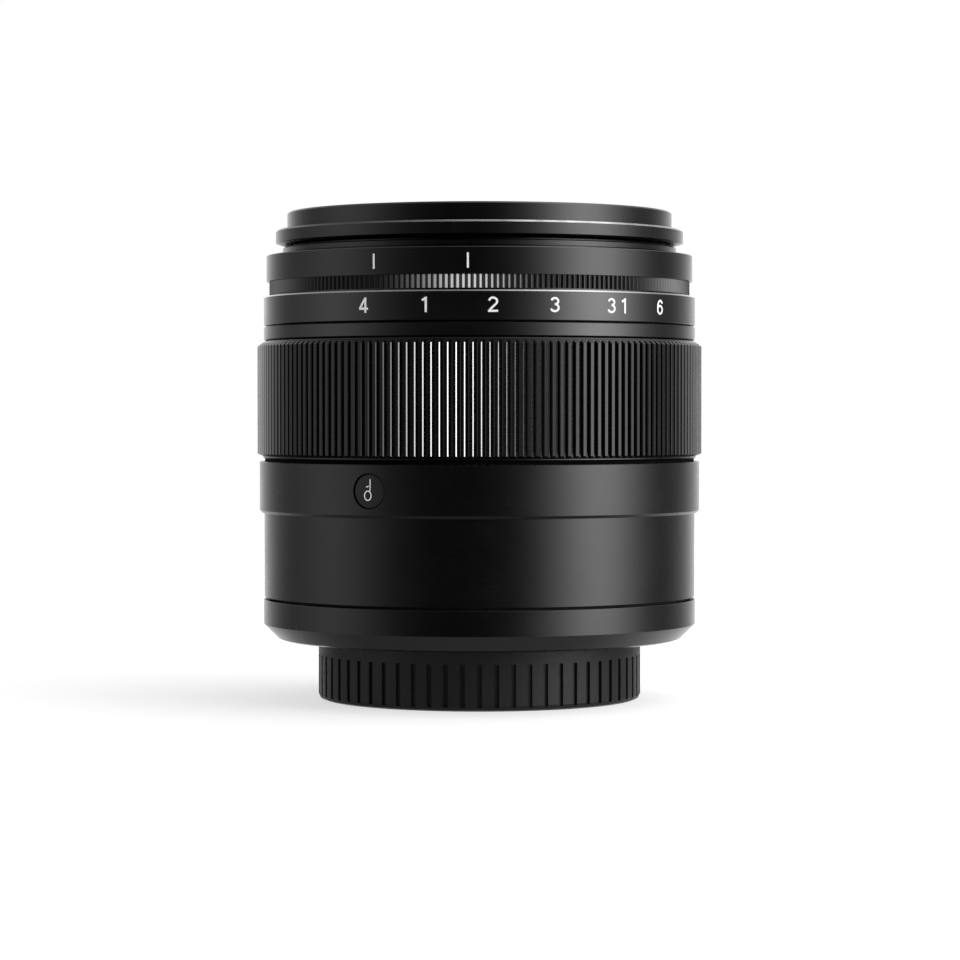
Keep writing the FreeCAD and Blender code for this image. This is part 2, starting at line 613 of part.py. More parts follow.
def aperture_lever():
    """Tab on the aperture ring that reaches through the barrels to turn the iris."""
    return radial_block(26.9, 33.15, LEVER_BOTTOM + JOINED_GAP, LEVER_TOP - JOINED_GAP,
                        LEVER_WIDTH, LEVER_AZIMUTH)


def click_ball():
    centre = KNURL_TOP - CLICK_BALL_SINK + CLICK_BALL_RADIUS
    return Part.makeSphere(CLICK_BALL_RADIUS, at(CLICK_AZIMUTH, CLICK_CIRCLE, centre))


def click_spring():
    """Small coil spring that presses the click ball onto the aperture ring."""
    wire = 0.1
    coil = 0.5
    length = 2.0
    bottom = KNURL_TOP - CLICK_BALL_SINK + 2 * CLICK_BALL_RADIUS + wire + 0.03
    helix = Part.makeHelix(length / 4, length, coil)
    circle = Part.makeCircle(wire, FreeCAD.Vector(coil, 0, 0), FreeCAD.Vector(0, 1, 0))
    spring = Part.Wire(helix.Edges).makePipeShell([Part.Wire(circle)], True, True)
    spring.translate(at(CLICK_AZIMUTH, CLICK_CIRCLE, bottom))
    return spring


# Sliding optical block


def inner_barrel():
    """Sliding barrel that carries both cells and the iris."""
    bottom = 24.0
    top = 66.5
    seat = 27.2
    seat_bottom = 65.2
    bulkhead = 20.5
    bulkhead_bottom = 50.0
    bulkhead_top = 51.6
    barrel = turned([
        (SLIDER_INNER, bottom), (SLIDER_OUTER, bottom), (SLIDER_OUTER, top), (seat, top),
        (seat, seat_bottom), (SLIDER_INNER, seat_bottom), (SLIDER_INNER, bulkhead_top),
        (bulkhead, bulkhead_top), (bulkhead, bulkhead_bottom), (SLIDER_INNER, bulkhead_bottom),
    ])
    window = lever_window(27, 31, LEVER_BOTTOM - FOCUS_TRAVEL - 0.3, LEVER_TOP + 0.3)
    holes = [radial_pin(FOLLOWER_RADIUS + JOINED_GAP, 28, 31, azimuth, FOLLOWER_HEIGHT)
             for azimuth in FOLLOWER_AZIMUTHS]
    screws = around(axial_pin(SMALL_SCREW_RADIUS + JOINED_GAP, 65, 67, 0, CELL_SCREW_CIRCLE), 3)
    return barrel.cut([window] + holes + screws)


def filter_ring():
    """Front bezel: neck, wide flange, rim and the filter thread."""
    crest = THREAD_CREST_RADIUS
    root = THREAD_ROOT_RADIUS
    thread_bottom = 75.3
    outline = [
        (SLIDER_INNER, 66.52), (SLIDER_OUTER, 66.52), (SLIDER_OUTER, BEZEL_BOTTOM),
        (31.3, BEZEL_BOTTOM), (BEZEL_RADIUS, FLANGE_BOTTOM), (BEZEL_RADIUS, FLANGE_TOP - FLANGE_CHAMFER),
        (BEZEL_RADIUS - FLANGE_CHAMFER, FLANGE_TOP), (RIM_RADIUS, FLANGE_TOP + 0.08),
        (RIM_RADIUS, BEZEL_TOP - 0.25),
        (RIM_RADIUS - 0.25, BEZEL_TOP), (root + 0.25, BEZEL_TOP), (root, BEZEL_TOP - 0.25),
    ]
    for turn in reversed(range(THREAD_TURNS)):
        low = thread_bottom + turn * THREAD_PITCH
        outline += [(root, low + 0.55), (crest, low + 0.42), (crest, low + 0.13), (root, low)]
    outline += [(root, thread_bottom - 0.1), (SLIDER_INNER, thread_bottom - 0.4)]
    return turned(outline)


def name_ring():
    """Dished black ring around the front glass."""
    return turned([
        (23.6, 73.12), (28.55, 73.12), (28.55, 75.0), (27.9, 75.0), (27.6, 74.7), (27.2, 74.7),
        (24.4, 73.6), (23.6, 73.6),
    ])


def front_cell():
    """Stepped cell that holds the three front elements."""
    outer = 25.9
    lip = 14.2
    bottom = 55.8
    floor = 56.65
    wide, middle, narrow = [ELEMENTS[name][0] + GLASS_GAP for name in ("glass_1", "glass_2", "glass_3")]
    flange = SLIDER_INNER - 0.05
    flange_bottom = 66.52
    flange_top = 68.0
    step = 58.88
    cell = turned([
        (lip, bottom), (outer, bottom), (outer, flange_bottom), (flange, flange_bottom),
        (flange, flange_top), (outer, flange_top), (outer, 73.0), (wide, 73.0), (wide, flange_top),
        (middle, flange_top), (middle, step), (narrow, step), (narrow, floor), (lip, floor),
    ])
    screw_hole = axial_pin(SMALL_SCREW_RADIUS + JOINED_GAP, 66, 69, 0, CELL_SCREW_CIRCLE)
    return cell.cut(around(screw_hole, 3))


def cell_screws():
    """Three screws that hold the front cell in the sliding barrel."""
    shank = axial_pin(SMALL_SCREW_RADIUS, 65.3, 68.1, 0, CELL_SCREW_CIRCLE)
    head = axial_pin(0.75, 68.02, 68.6, 0, CELL_SCREW_CIRCLE)
    return Part.makeCompound(around(shank.fuse(head), 3))


def rear_cell():
    """Cell under the iris that holds the four rear elements."""
    outer = 20.4
    lip = 14.3
    bottom = 22.3
    top = 51.0
    wide = ELEMENTS["glass_5"][0] + GLASS_GAP
    narrow = ELEMENTS["glass_4"][0] + GLASS_GAP
    flange = SLIDER_INNER - 0.05
    flange_bottom = 48.2
    flange_top = 49.98
    step = 41.96
    ceiling = 49.85
    return turned([
        (wide, bottom), (outer, bottom), (outer, flange_bottom), (flange, flange_bottom),
        (flange, flange_top), (outer, flange_top), (outer, top), (lip, top), (lip, ceiling),
        (narrow, ceiling), (narrow, step), (wide, step),
    ])


def retaining_ring(inner, outer, bottom, top):
    """Threaded ring with two spanner slots."""
    ring = tube(inner, outer, bottom, top)
    slots = around(radial_block(inner - 1, outer + 1, top - 0.5, top + 1, 1.2, 90), 2)
    return ring.cut(slots)


def surface(radius, vertex, curve):
    """The height of a spherical surface at this distance from the axis."""
    sag = abs(curve) - math.sqrt(curve * curve - radius * radius)
    return vertex - math.copysign(sag, curve)


def surface_edge(radius, vertex, curve):
    half = radius / 2
    return Part.Arc(
        FreeCAD.Vector(0, 0, vertex), FreeCAD.Vector(half, 0, surface(half, vertex, curve)),
        FreeCAD.Vector(radius, 0, surface(radius, vertex, curve)),
    ).toShape()


def glass(radius, front, front_curve, back, back_curve):
    """A glass element: front and back are the heights of its vertices."""
    top = surface_edge(radius, front, front_curve)
    bottom = surface_edge(radius, back, back_curve)
    rim = Part.makeLine(
        FreeCAD.Vector(radius, 0, surface(radius, front, front_curve)),
        FreeCAD.Vector(radius, 0, surface(radius, back, back_curve)),
    )
    axis = Part.makeLine(FreeCAD.Vector(0, 0, back), FreeCAD.Vector(0, 0, front))
    face = Part.Face(Part.Wire(Part.__sortEdges__([top, rim, bottom, axis])))
    return face.revolve(ORIGIN, Z_AXIS, 360)


def spacer(inner, outer, below, above):
    """The ring that keeps two glass elements apart at their rims."""
    front = ELEMENTS[below][1:3]
    back = ELEMENTS[above][3:5]
    bottom = max(surface(inner, *front), surface(ELEMENTS[below][0], *front)) + JOINED_GAP
    top = min(surface(inner, *back), surface(outer, *back)) - JOINED_GAP
    return tube(inner, outer, bottom, top)


# Iris


def iris_base():
    """Plate with the pivot holes of the blades."""
    plate = tube(16.0, SLIDER_INNER - 0.05, IRIS_BASE_BOTTOM, BLADE_BOTTOM - 0.05)
    hole = axial_pin(PIVOT_RADIUS + 0.05, IRIS_BASE_BOTTOM - 1, BLADE_BOTTOM, 0, PIVOT_CIRCLE)
    return plate.cut(around(hole, BLADE_COUNT))


def drive_pin_place(turn):
    """Where the first blade's drive pin is with the aperture ring at this turn."""
    pivot = at(0, PIVOT_CIRCLE, 0)
    swing = (OPEN_TURN - turn) * BLADE_RATIO
    return pivot + at(DRIVE_ARM_ANGLE + swing, DRIVE_ARM, 0)


def link(start, end, half_width, thickness):
    """A flat bar with round ends."""
    along = end - start
    across = FreeCAD.Vector(-along.y, along.x, 0).normalize() * half_width
    corners = [start + across, start - across, end - across, end + across]
    bar = Part.Face(Part.makePolygon(corners + corners[:1])).extrude(Z_AXIS * thickness)
    ends = [Part.makeCylinder(half_width, thickness, place) for place in (start, end)]
    return bar.fuse(ends)


def iris_blade(number):
    """One blade: an arc-shaped leaf with a pivot pin below and a drive pin above."""
    pivot = at(0, PIVOT_CIRCLE, 0)
    leaf = sector(BLADE_INNER, BLADE_OUTER, 0, BLADE_THICKNESS, 0, BLADE_SPAN)
    tab = link(pivot, at(4, 19.5, 0), 1.6, BLADE_THICKNESS)
    tail = link(pivot, drive_pin_place(OPEN_TURN), 0.95, BLADE_THICKNESS)
    blade = leaf.fuse([tab, tail])
    blade.rotate(pivot, Z_AXIS, OPEN_TURN * BLADE_RATIO)
    base = BLADE_BOTTOM + BLADE_PITCH * number
    blade.translate(FreeCAD.Vector(0, 0, base))
    foot = IRIS_BASE_BOTTOM + 0.08
    pivot_pin = axial_pin(PIVOT_RADIUS, foot, base + BLADE_THICKNESS / 2, 0, PIVOT_CIRCLE)
    drive = drive_pin_place(0)
    drive_pin = Part.makeCylinder(
        DRIVE_PIN_RADIUS, IRIS_RING_TOP - 0.05 - base, FreeCAD.Vector(drive.x, drive.y, base))
    blade = blade.fuse([pivot_pin, drive_pin])
    blade.rotate(ORIGIN, Z_AXIS, 360.0 * number / BLADE_COUNT)
    return blade


def drive_slot():
    """The spiral slot in which the first blade's drive pin runs, as a cutter."""
    steps = 10
    half_width = DRIVE_PIN_RADIUS + IRIS_GAP
    centres = []
    for step in range(steps + 1):
        turn = OPEN_TURN + 0.6 + (CLOSED_TURN - OPEN_TURN - 1.2) * step / steps
        place = drive_pin_place(turn)
        place = FreeCAD.Rotation(Z_AXIS, -turn).multVec(place)
        centres.append(place)
    path = Part.BSplineCurve()
    path.interpolate(centres)
    sides = ([], [])
    for step in range(steps + 1):
        value = path.parameter(centres[step])
        along = FreeCAD.Vector(path.tangent(value)[0]).normalize()
        across = Z_AXIS.cross(along) * half_width
        sides[0].append(centres[step] + across)
        sides[1].append(centres[step] - across)
    edges = []
    for side in sides:
        curve = Part.BSplineCurve()
        curve.interpolate(side)
        edges.append(curve.toShape())
    for step, sign in ((0, -1), (steps, 1)):
        value = path.parameter(centres[step])
        along = FreeCAD.Vector(path.tangent(value)[0]).normalize()
        tip = centres[step] + along * half_width * sign
        edges.append(Part.Arc(sides[0][step], tip, sides[1][step]).toShape())
    face = Part.Face(Part.Wire(Part.__sortEdges__(edges)))
    slot = face.extrude(Z_AXIS * 3)
    slot.translate(FreeCAD.Vector(0, 0, IRIS_RING_BOTTOM - 1))
    return slot


def iris_ring():
    """Ring whose spiral slots swing the blades; its fork straddles the aperture lever."""
    ring = tube(21.6, SLIDER_INNER - 0.08, IRIS_RING_BOTTOM, IRIS_RING_TOP)
    ring = ring.cut(around(drive_slot(), BLADE_COUNT))
    prong_width = 2.4
    prong_depth = 1.6
    prong_outer = 28.1
    prong_bottom = IRIS_RING_TOP - 0.4
    prong_height = LEVER_TOP + 0.4 - prong_bottom
    offset = (LEVER_WIDTH + prong_width) / 2 + RUNNING_GAP
    prongs = []
    for side in (-1, 1):
        corner = FreeCAD.Vector(side * offset - prong_width / 2, -prong_outer, prong_bottom)
        prong = Part.makeBox(prong_width, prong_depth, prong_height, corner)
        prong.rotate(ORIGIN, Z_AXIS, LEVER_AZIMUTH)
        prongs.append(prong)
    foot = radial_block(prong_outer - prong_depth, prong_outer, IRIS_RING_BOTTOM, IRIS_RING_TOP + 0.6,
                        2 * offset + prong_width, LEVER_AZIMUTH)
    return ring.fuse(prongs + [foot])


def iris_retainer():
    """Open spring ring that keeps the iris ring down, clear of the fork's sweep."""
    margin = 14.0
    start = LEVER_AZIMUTH + OPEN_TURN + margin
    sweep = 360 - (OPEN_TURN - CLOSED_TURN) - 2 * margin
    return sector(27.4, SLIDER_INNER - 0.03, IRIS_RING_TOP + 0.08, IRIS_RING_TOP + 0.3, start, sweep)


def export(name, shape):
    assert shape.isValid(), name
    assert all(solid.Volume > 0 for solid in shape.Solids), name
    if len(shape.Solids) == 1:
        shape = shape.Solids[0]
    shape.exportStep(os.path.join("parts", name + ".step"))
    print(name, len(shape.Solids), round(shape.Volume, 1))


def main():
    os.makedirs("parts", exist_ok=True)
    for build in (
        rear_cap, mount_flange, mount_screws, mount_shim, rear_chassis, rear_baffle,
        contact_block, contact_pins, rear_cover, rear_barrel, button_ring, function_button,
        button_switch, flex_cable, circuit_board, guide_barrel, barrel_screws, focus_washer,
        trim_band, index_ring, front_collar, focus_ring, focus_grip, cam_sleeve, cam_screws,
        follower_pins, aperture_ring, aperture_lever, click_ball, click_spring, inner_barrel,
        filter_ring, name_ring, front_cell, cell_screws, rear_cell, iris_base, iris_ring,
        iris_retainer,
    ):
        export(build.__name__, build())
    for number in range(BLADE_COUNT):
        export("iris_blade_" + str(number + 1), iris_blade(number))
    export("front_retainer", retaining_ring(21.2, 22.82, 70.5, 72.4))
    export("front_spacer", spacer(19.0, 19.82, "glass_2", "glass_1"))
    export("rear_spacer_1", spacer(15.9, 17.02, "glass_6", "glass_5"))
    export("rear_spacer_2", spacer(15.9, 17.02, "glass_7", "glass_6"))
    export("rear_retainer", retaining_ring(15.6, 17.02, 22.5, 24.2))
    for name, element in ELEMENTS.items():
        export(name, glass(*element))


main()
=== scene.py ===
import json
import math

import bmesh
import bpy
from mathutils import Matrix, Vector


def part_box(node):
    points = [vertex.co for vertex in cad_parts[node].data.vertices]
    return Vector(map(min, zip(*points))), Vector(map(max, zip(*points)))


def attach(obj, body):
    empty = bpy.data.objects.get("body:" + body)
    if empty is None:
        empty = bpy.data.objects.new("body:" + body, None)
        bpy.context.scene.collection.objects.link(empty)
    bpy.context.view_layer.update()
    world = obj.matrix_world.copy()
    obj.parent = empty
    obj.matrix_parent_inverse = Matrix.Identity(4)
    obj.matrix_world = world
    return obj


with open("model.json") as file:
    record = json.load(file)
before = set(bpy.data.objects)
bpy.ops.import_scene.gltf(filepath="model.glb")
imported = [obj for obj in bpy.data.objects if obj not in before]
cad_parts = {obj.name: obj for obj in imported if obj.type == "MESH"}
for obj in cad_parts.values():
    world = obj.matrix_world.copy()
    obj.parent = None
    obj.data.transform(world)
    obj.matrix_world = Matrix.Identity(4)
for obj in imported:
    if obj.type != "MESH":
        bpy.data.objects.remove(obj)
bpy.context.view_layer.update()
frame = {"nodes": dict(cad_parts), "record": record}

# Prime camera lens on its rear cap. Metres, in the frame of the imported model.
# Azimuths are in degrees about +Z, counted from -Y, which is the side that faces the camera.

MM = 0.001
NODES = frame["nodes"]


def low(node):
    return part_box(node)[0]


def high(node):
    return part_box(node)[1]


def radius_of(node):
    """A turned node's outer radius."""
    return (high(node).x - low(node).x) / 2


# Heights and radii that the finishes and the marks go by
KNURL_BOTTOM = high("aperture_ring").z - 2.08 * MM
SCALE_BAND_TOP = high("aperture_ring").z - 2.38 * MM
SCALE_BAND_BOTTOM = low("aperture_ring").z
SCALE_BAND_RADIUS = radius_of("aperture_ring")
BEZEL_EDGE_TOP = high("filter_ring").z - 2.9 * MM
BEZEL_EDGE_RADIUS = radius_of("filter_ring") - 0.3 * MM
BARREL_GROOVE_TOP = low("rear_barrel").z + 0.36 * MM


# Node building


def join_sockets(tree, source, target):
    """Links a node's output to an input, or sets the input to a plain value."""
    if isinstance(source, bpy.types.NodeSocket):
        tree.links.new(source, target)
    else:
        target.default_value = source


def math_node(tree, operation, first, second=0.0):
    node = tree.nodes.new("ShaderNodeMath")
    node.operation = operation
    join_sockets(tree, first, node.inputs[0])
    join_sockets(tree, second, node.inputs[1])
    return node.outputs[0]


class Shader:
    """A material's node tree, with short names for the nodes that the finishes share."""

    def __init__(self, name):
        self.material = bpy.data.materials.new(name)
        self.material.use_nodes = True
        self.tree = self.material.node_tree
        self.surface = self.tree.nodes["Principled BSDF"]
        coordinates = self.tree.nodes.new("ShaderNodeTexCoord")
        self.place = coordinates.outputs["Object"]
        self.normal = coordinates.outputs["Normal"]

    def link(self, source, target):
        join_sockets(self.tree, source, target)

    def math(self, operation, first, second=0.0):
        return math_node(self.tree, operation, first, second)

    def all_of(self, first, *others):
        """The product of some masks."""
        for other in others:
            first = self.math("MULTIPLY", first, other)
        return first

    def split(self, vector):
        node = self.tree.nodes.new("ShaderNodeSeparateXYZ")
        self.link(vector, node.inputs[0])
        return node.outputs[0], node.outputs[1], node.outputs[2]

    def join(self, x, y, z):
        node = self.tree.nodes.new("ShaderNodeCombineXYZ")
        for value, target in zip((x, y, z), node.inputs):
            self.link(value, target)
        return node.outputs[0]

    def noise(self, scale, detail=3.0, vector=None, roughness=0.5):
        node = self.tree.nodes.new("ShaderNodeTexNoise")
        self.link(self.place if vector is None else vector, node.inputs["Vector"])
        node.inputs["Scale"].default_value = scale
        node.inputs["Detail"].default_value = detail
        node.inputs["Roughness"].default_value = roughness
        return node.outputs["Fac"]

    def between(self, value, from_low, from_high, to_low=0.0, to_high=1.0):
        node = self.tree.nodes.new("ShaderNodeMapRange")
        self.link(value, node.inputs["Value"])
        node.inputs["From Min"].default_value = from_low
        node.inputs["From Max"].default_value = from_high
        node.inputs["To Min"].default_value = to_low
        node.inputs["To Max"].default_value = to_high
        return node.outputs["Result"]

    def mix(self, factor, first, second):
        node = self.tree.nodes.new("ShaderNodeMix")
        node.data_type = "RGBA"
        self.link(factor, node.inputs[0])
        self.link(first, node.inputs[6])
        self.link(second, node.inputs[7])
        return node.outputs[2]

    def bump(self, height, strength, distance):
        node = self.tree.nodes.new("ShaderNodeBump")
        self.link(height, node.inputs["Height"])
        node.inputs["Strength"].default_value = strength
        node.inputs["Distance"].default_value = distance
        self.link(node.outputs["Normal"], self.surface.inputs["Normal"])

    def set(self, **values):
        for name, value in values.items():
            self.link(value, self.surface.inputs[name.replace("_", " ")])

    def radius(self):
        """Distance from the lens's axis."""
        x, y, _ = self.split(self.place)
        squares = self.math("ADD", self.math("MULTIPLY", x, x), self.math("MULTIPLY", y, y))
        return self.math("SQRT", squares)

    def tilt(self):
        """How far the surface faces straight out from the axis: 1 on a plain barrel wall."""
        x, y, _ = self.split(self.place)
        nx, ny, _ = self.split(self.normal)
        along = self.math("ADD", self.math("MULTIPLY", x, nx), self.math("MULTIPLY", y, ny))
        return self.math("DIVIDE", along, self.radius())

    def lean(self):
        """How far the surface leans round the axis, towards a growing azimuth."""
        x, y, _ = self.split(self.place)
        nx, ny, _ = self.split(self.normal)
        along = self.math("SUBTRACT", self.math("MULTIPLY", x, ny), self.math("MULTIPLY", y, nx))
        return self.math("DIVIDE", along, self.radius())


def grey(level):
    return (level, level, level, 1.0)


# Finishes


def anodised(name, level=0.0014, rough=0.26, gloss=0.5):
    """Satin black anodising over turned metal: a fine grain, faint turning marks and faint mottling.

    Returns the shader, so that a finish can add its own edges to it.
    """
    s = Shader(name)
    x, y, z = s.split(s.place)
    stretched = s.join(s.math("MULTIPLY", x, 0.02), s.math("MULTIPLY", y, 0.02), z)
    marks = s.noise(9000.0, 4.0, stretched, 0.6)
    grain = s.noise(5200.0, 2.0)
    mottle = s.noise(160.0, 3.0)
    colour = s.mix(s.between(mottle, 0.3, 0.7), grey(level * 0.8), grey(level * 1.25))
    turning = s.between(marks, 0.25, 0.75, rough - 0.03, rough + 0.03)
    roughness = s.math("ADD", turning, s.between(mottle, 0.3, 0.7, -0.02, 0.02))
    s.set(Base_Color=colour, Roughness=roughness, IOR=1.5, Specular_IOR_Level=gloss)
    s.bump(s.math("ADD", s.math("MULTIPLY", marks, 0.4), grain), 0.1, 0.00002)
    return s


CUT_ROUGHNESS = 0.17
RING_ROUGHNESS = 0.23
RING_GLOSS = 0.65


def bright_edges(s, mask, tone, rough):
    """Turns the masked area into bright cut metal."""
    colour = s.surface.inputs["Base Color"].links[0].from_socket
    roughness = s.surface.inputs["Roughness"].links[0].from_socket
    kept = s.math("MULTIPLY", roughness, s.math("SUBTRACT", 1.0, mask))
    cut = s.math("MULTIPLY", mask, rough)
    s.set(Base_Color=s.mix(mask, colour, tone), Metallic=mask, Roughness=s.math("ADD", kept, cut))


def grip_finish():
    """Black anodised ribs; the chamfer on one side of each rib is cut bright."""
    s = anodised("grip_finish", level=0.0015, gloss=0.45)
    top = radius_of("focus_grip")
    near_top = s.between(s.radius(), top - 0.32 * MM, top - 0.2 * MM)
    chamfer = s.between(s.lean(), 0.3, 0.4)
    not_flank = s.between(s.tilt(), 0.25, 0.4)
    bright_edges(s, s.all_of(chamfer, not_flank, near_top), grey(0.34), CUT_ROUGHNESS)
    return s.material


def aperture_finish():
    """Black scale band with a bright upper edge; one side of each knurl tooth is cut bright."""
    s = anodised("aperture_finish", rough=RING_ROUGHNESS, gloss=RING_GLOSS)
    _, _, z = s.split(s.place)
    in_knurl = s.between(z, KNURL_BOTTOM - 0.02 * MM, KNURL_BOTTOM + 0.04 * MM)
    cut_side = s.all_of(in_knurl, s.between(s.lean(), 0.25, 0.35))
    above = s.between(z, SCALE_BAND_TOP - 0.24 * MM, SCALE_BAND_TOP - 0.2 * MM)
    outside = s.between(s.radius(), SCALE_BAND_RADIUS - 0.3 * MM, SCALE_BAND_RADIUS - 0.26 * MM)
    edge = s.all_of(above, outside, s.between(s.tilt(), 0.9, 0.8))
    tone = s.mix(in_knurl, grey(0.36), grey(0.13))
    bright_edges(s, s.math("MAXIMUM", cut_side, edge), tone, CUT_ROUGHNESS)
    return s.material


def bezel_finish():
    """Black anodised front ring; the edge of its flange is bright metal in worn patches, kept to the +X
    side as a painted highlight that fades out towards -X.
    """
    s = anodised("bezel_finish")
    x, _, z = s.split(s.place)
    on_edge = s.all_of(
        s.between(z, BEZEL_EDGE_TOP + 0.03 * MM, BEZEL_EDGE_TOP),
        s.between(s.radius(), BEZEL_EDGE_RADIUS - 0.04 * MM, BEZEL_EDGE_RADIUS),
        s.between(z, BEZEL_EDGE_TOP - 0.32 * MM, BEZEL_EDGE_TOP - 0.28 * MM))
    patches = s.between(s.noise(300.0, 4.0), 0.35, 0.6, 0.6, 1.0)
    # painted highlight: the bright edge (grey 0.4 metal) fades out from +X to -X, following where the light
    # falls
    wear_and_highlight_side = s.all_of(patches, s.between(x, -20 * MM, 12 * MM))
    wear_and_painted_highlight = s.all_of(on_edge, wear_and_highlight_side, s.between(s.tilt(), 0.95, 0.85))
    bright_edges(s, wear_and_painted_highlight, grey(0.4), 0.25)
    return s.material


def barrel_finish():
    """Black anodised shell; the groove at its foot is left matt."""
    s = anodised("barrel_finish")
    _, _, z = s.split(s.place)
    wall = radius_of("rear_barrel")
    matt = s.all_of(
        s.between(z, BARREL_GROOVE_TOP + 0.01 * MM, BARREL_GROOVE_TOP),
        s.between(s.radius(), wall - 0.02 * MM, wall - 0.06 * MM))
    roughness = s.surface.inputs["Roughness"].links[0].from_socket
    s.set(Roughness=s.math("ADD", roughness, s.math("MULTIPLY", matt, 0.6)))
    return s.material


def flat_black():
    """Anti-reflection paint inside the barrels."""
    s = Shader("flat_black_finish")
    s.set(
        Base_Color=s.mix(s.noise(900.0), grey(0.006), grey(0.014)),
        Roughness=s.between(s.noise(2500.0), 0.3, 0.7, 0.6, 0.8))
    s.bump(s.noise(9000.0, 2.0), 0.2, 0.00003)
    return s.material


def moulded_plastic(name, level, rough, gloss=0.5):
    """Black moulded plastic with a fine texture."""
    s = Shader(name)
    s.set(
        Base_Color=s.mix(s.noise(260.0), grey(level * 0.85), grey(level * 1.15)),
        Roughness=s.between(s.noise(1400.0), 0.3, 0.7, rough - 0.05, rough + 0.05),
        IOR=1.48, Specular_IOR_Level=gloss)
    s.bump(s.noise(7500.0, 3.0), 0.25, 0.00003)
    return s.material


def shaded(tone, share):
    """A colour at a share of its level."""
    return (tone[0] * share, tone[1] * share, tone[2] * share, 1.0)


def metal(name, tone, rough, turned=True):
    """Bare or plated metal, with turning marks or an even grain."""
    s = Shader(name)
    if turned:
        _, _, z = s.split(s.place)
        marks = s.noise(14000.0, 3.0, s.join(s.radius(), 0.0, z))
    else:
        marks = s.noise(6000.0)
    s.set(
        Base_Color=s.mix(s.noise(400.0), shaded(tone, 0.92), shaded(tone, 1.0)),
        Metallic=1.0, Roughness=s.between(marks, 0.25, 0.75, rough - 0.06, rough + 0.06))
    s.bump(marks, 0.08, 0.00001)
    return s.material


def coated_glass(name, tint):
    """Optical glass with a coloured anti-reflection coating, a trace of dust and a blackened edge."""
    s = Shader(name)
    edge = s.between(s.tilt(), 0.9, 0.95)
    dust = s.between(s.noise(700.0, 4.0), 0.55, 0.8, 0.0, 0.015)
    s.set(
        Base_Color=s.mix(edge, (0.985, 0.995, 0.99, 1.0), grey(0.006)),
        Transmission_Weight=s.math("SUBTRACT", 1.0, edge), IOR=1.6,
        Roughness=s.math("MAXIMUM", dust, s.math("MULTIPLY", edge, 0.7)),
        Specular_Tint=(*tint, 1.0))
    return s.material


def paint(name, tone):
    """Filled engraving paint, slightly uneven."""
    s = Shader(name)
    s.set(
        Base_Color=s.mix(s.noise(1500.0, 4.0), shaded(tone, 0.9), shaded(tone, 1.0)),
        Roughness=s.between(s.noise(3000.0), 0.3, 0.7, 0.5, 0.65))
    s.bump(s.noise(9000.0), 0.1, 0.00001)
    return s.material


# The tint of each glass element's coating, in reflection
COATINGS = {
    "glass_1": (0.16, 0.07, 0.3),
    "glass_2": (0.05, 0.18, 0.1),
    "glass_3": (0.2, 0.1, 0.05),
    "glass_4": (0.08, 0.1, 0.22),
    "glass_5": (0.05, 0.16, 0.1),
    "glass_6": (0.16, 0.07, 0.2),
    "glass_7": (0.07, 0.16, 0.12),
}


def finish_nodes():
    """Gives each node its own finish, or else the one for its material slot in the record."""
    finishes = {
        "black_anodised": anodised("black_anodised_finish").material,
        "grip_metal": grip_finish(),
        "flat_black": flat_black(),
        "mount_steel": metal("plated_mount", (0.72, 0.71, 0.69), 0.22),
        "steel": metal("turned_steel", (0.55, 0.55, 0.54), 0.3),
        "blade_steel": metal("blackened_steel", (0.02, 0.02, 0.022), 0.45, False),
        "brass": metal("turned_brass", (0.72, 0.5, 0.22), 0.3),
        "gold": metal("gold_plate", (0.9, 0.62, 0.22), 0.2, False),
        "black_plastic": moulded_plastic("moulded_black", 0.014, 0.48, 0.25),
        "board": moulded_plastic("solder_mask", 0.03, 0.35),
        "flex": moulded_plastic("polyimide", 0.2, 0.3),
        "washer": moulded_plastic("washer_plastic", 0.002, 0.8, 0.05),
    }
    special = {
        "aperture_ring": aperture_finish(),
        "trim_band": anodised("trim_finish", rough=RING_ROUGHNESS, gloss=RING_GLOSS).material,
        "filter_ring": bezel_finish(),
        "rear_barrel": barrel_finish(),
        "function_button": anodised("button_finish", 0.0055, 0.4).material,
    }
    for node, tint in COATINGS.items():
        special[node] = coated_glass("coating_" + node, tint)
    slots = {entry["node"]: entry["material_slot"] for entry in frame["record"]["subparts"]}
    for node, thing in NODES.items():
        chosen = special[node] if node in special else finishes[slots[node]]
        for slot in thing.material_slots:
            slot.material = chosen


# Painted marks


def wrap(piece, radius, azimuth, height):
    """Bends a flat piece, drawn in its own XY plane with Z outward, round the lens's axis."""
    for vertex in piece.data.vertices:
        x, y, z = vertex.co
        turn = math.radians(azimuth) + x / radius
        distance = radius + z
        vertex.co = (distance * math.sin(turn), -distance * math.cos(turn), height + y)


def arc(centre, across, up, start, end, steps=16):
    """Points along part of an ellipse, with the angles in degrees."""
    points = []
    for step in range(steps + 1):
        turn = math.radians(start + (end - start) * step / steps)
        points.append((centre[0] + across * math.cos(turn), centre[1] + up * math.sin(turn)))
    return points


def ribbon(shape, points, width, thickness, closed=False):
    """Adds a flat ribbon that follows the points, with square ends or closed into a ring."""
    count = len(points)
    sections = []
    for index, (x, y) in enumerate(points):
        before = points[index - 1] if index > 0 or closed else points[index]
        after = points[(index + 1) % count] if index < count - 1 or closed else points[index]
        side = Vector((before[1] - after[1], after[0] - before[0])).normalized() * (width / 2)
        corners = ((side, 0.0), (-side, 0.0), (-side, thickness), (side, thickness))
        sections.append([shape.verts.new((x + out.x, y + out.y, z)) for out, z in corners])
    following = sections[1:] + sections[:1] if closed else sections[1:]
    for first, second in zip(sections, following):
        for corner in range(4):
            other = (corner + 1) % 4
            shape.faces.new((first[corner], first[other], second[other], second[corner]))
    if not closed:
        shape.faces.new(sections[0])
        shape.faces.new(sections[-1])


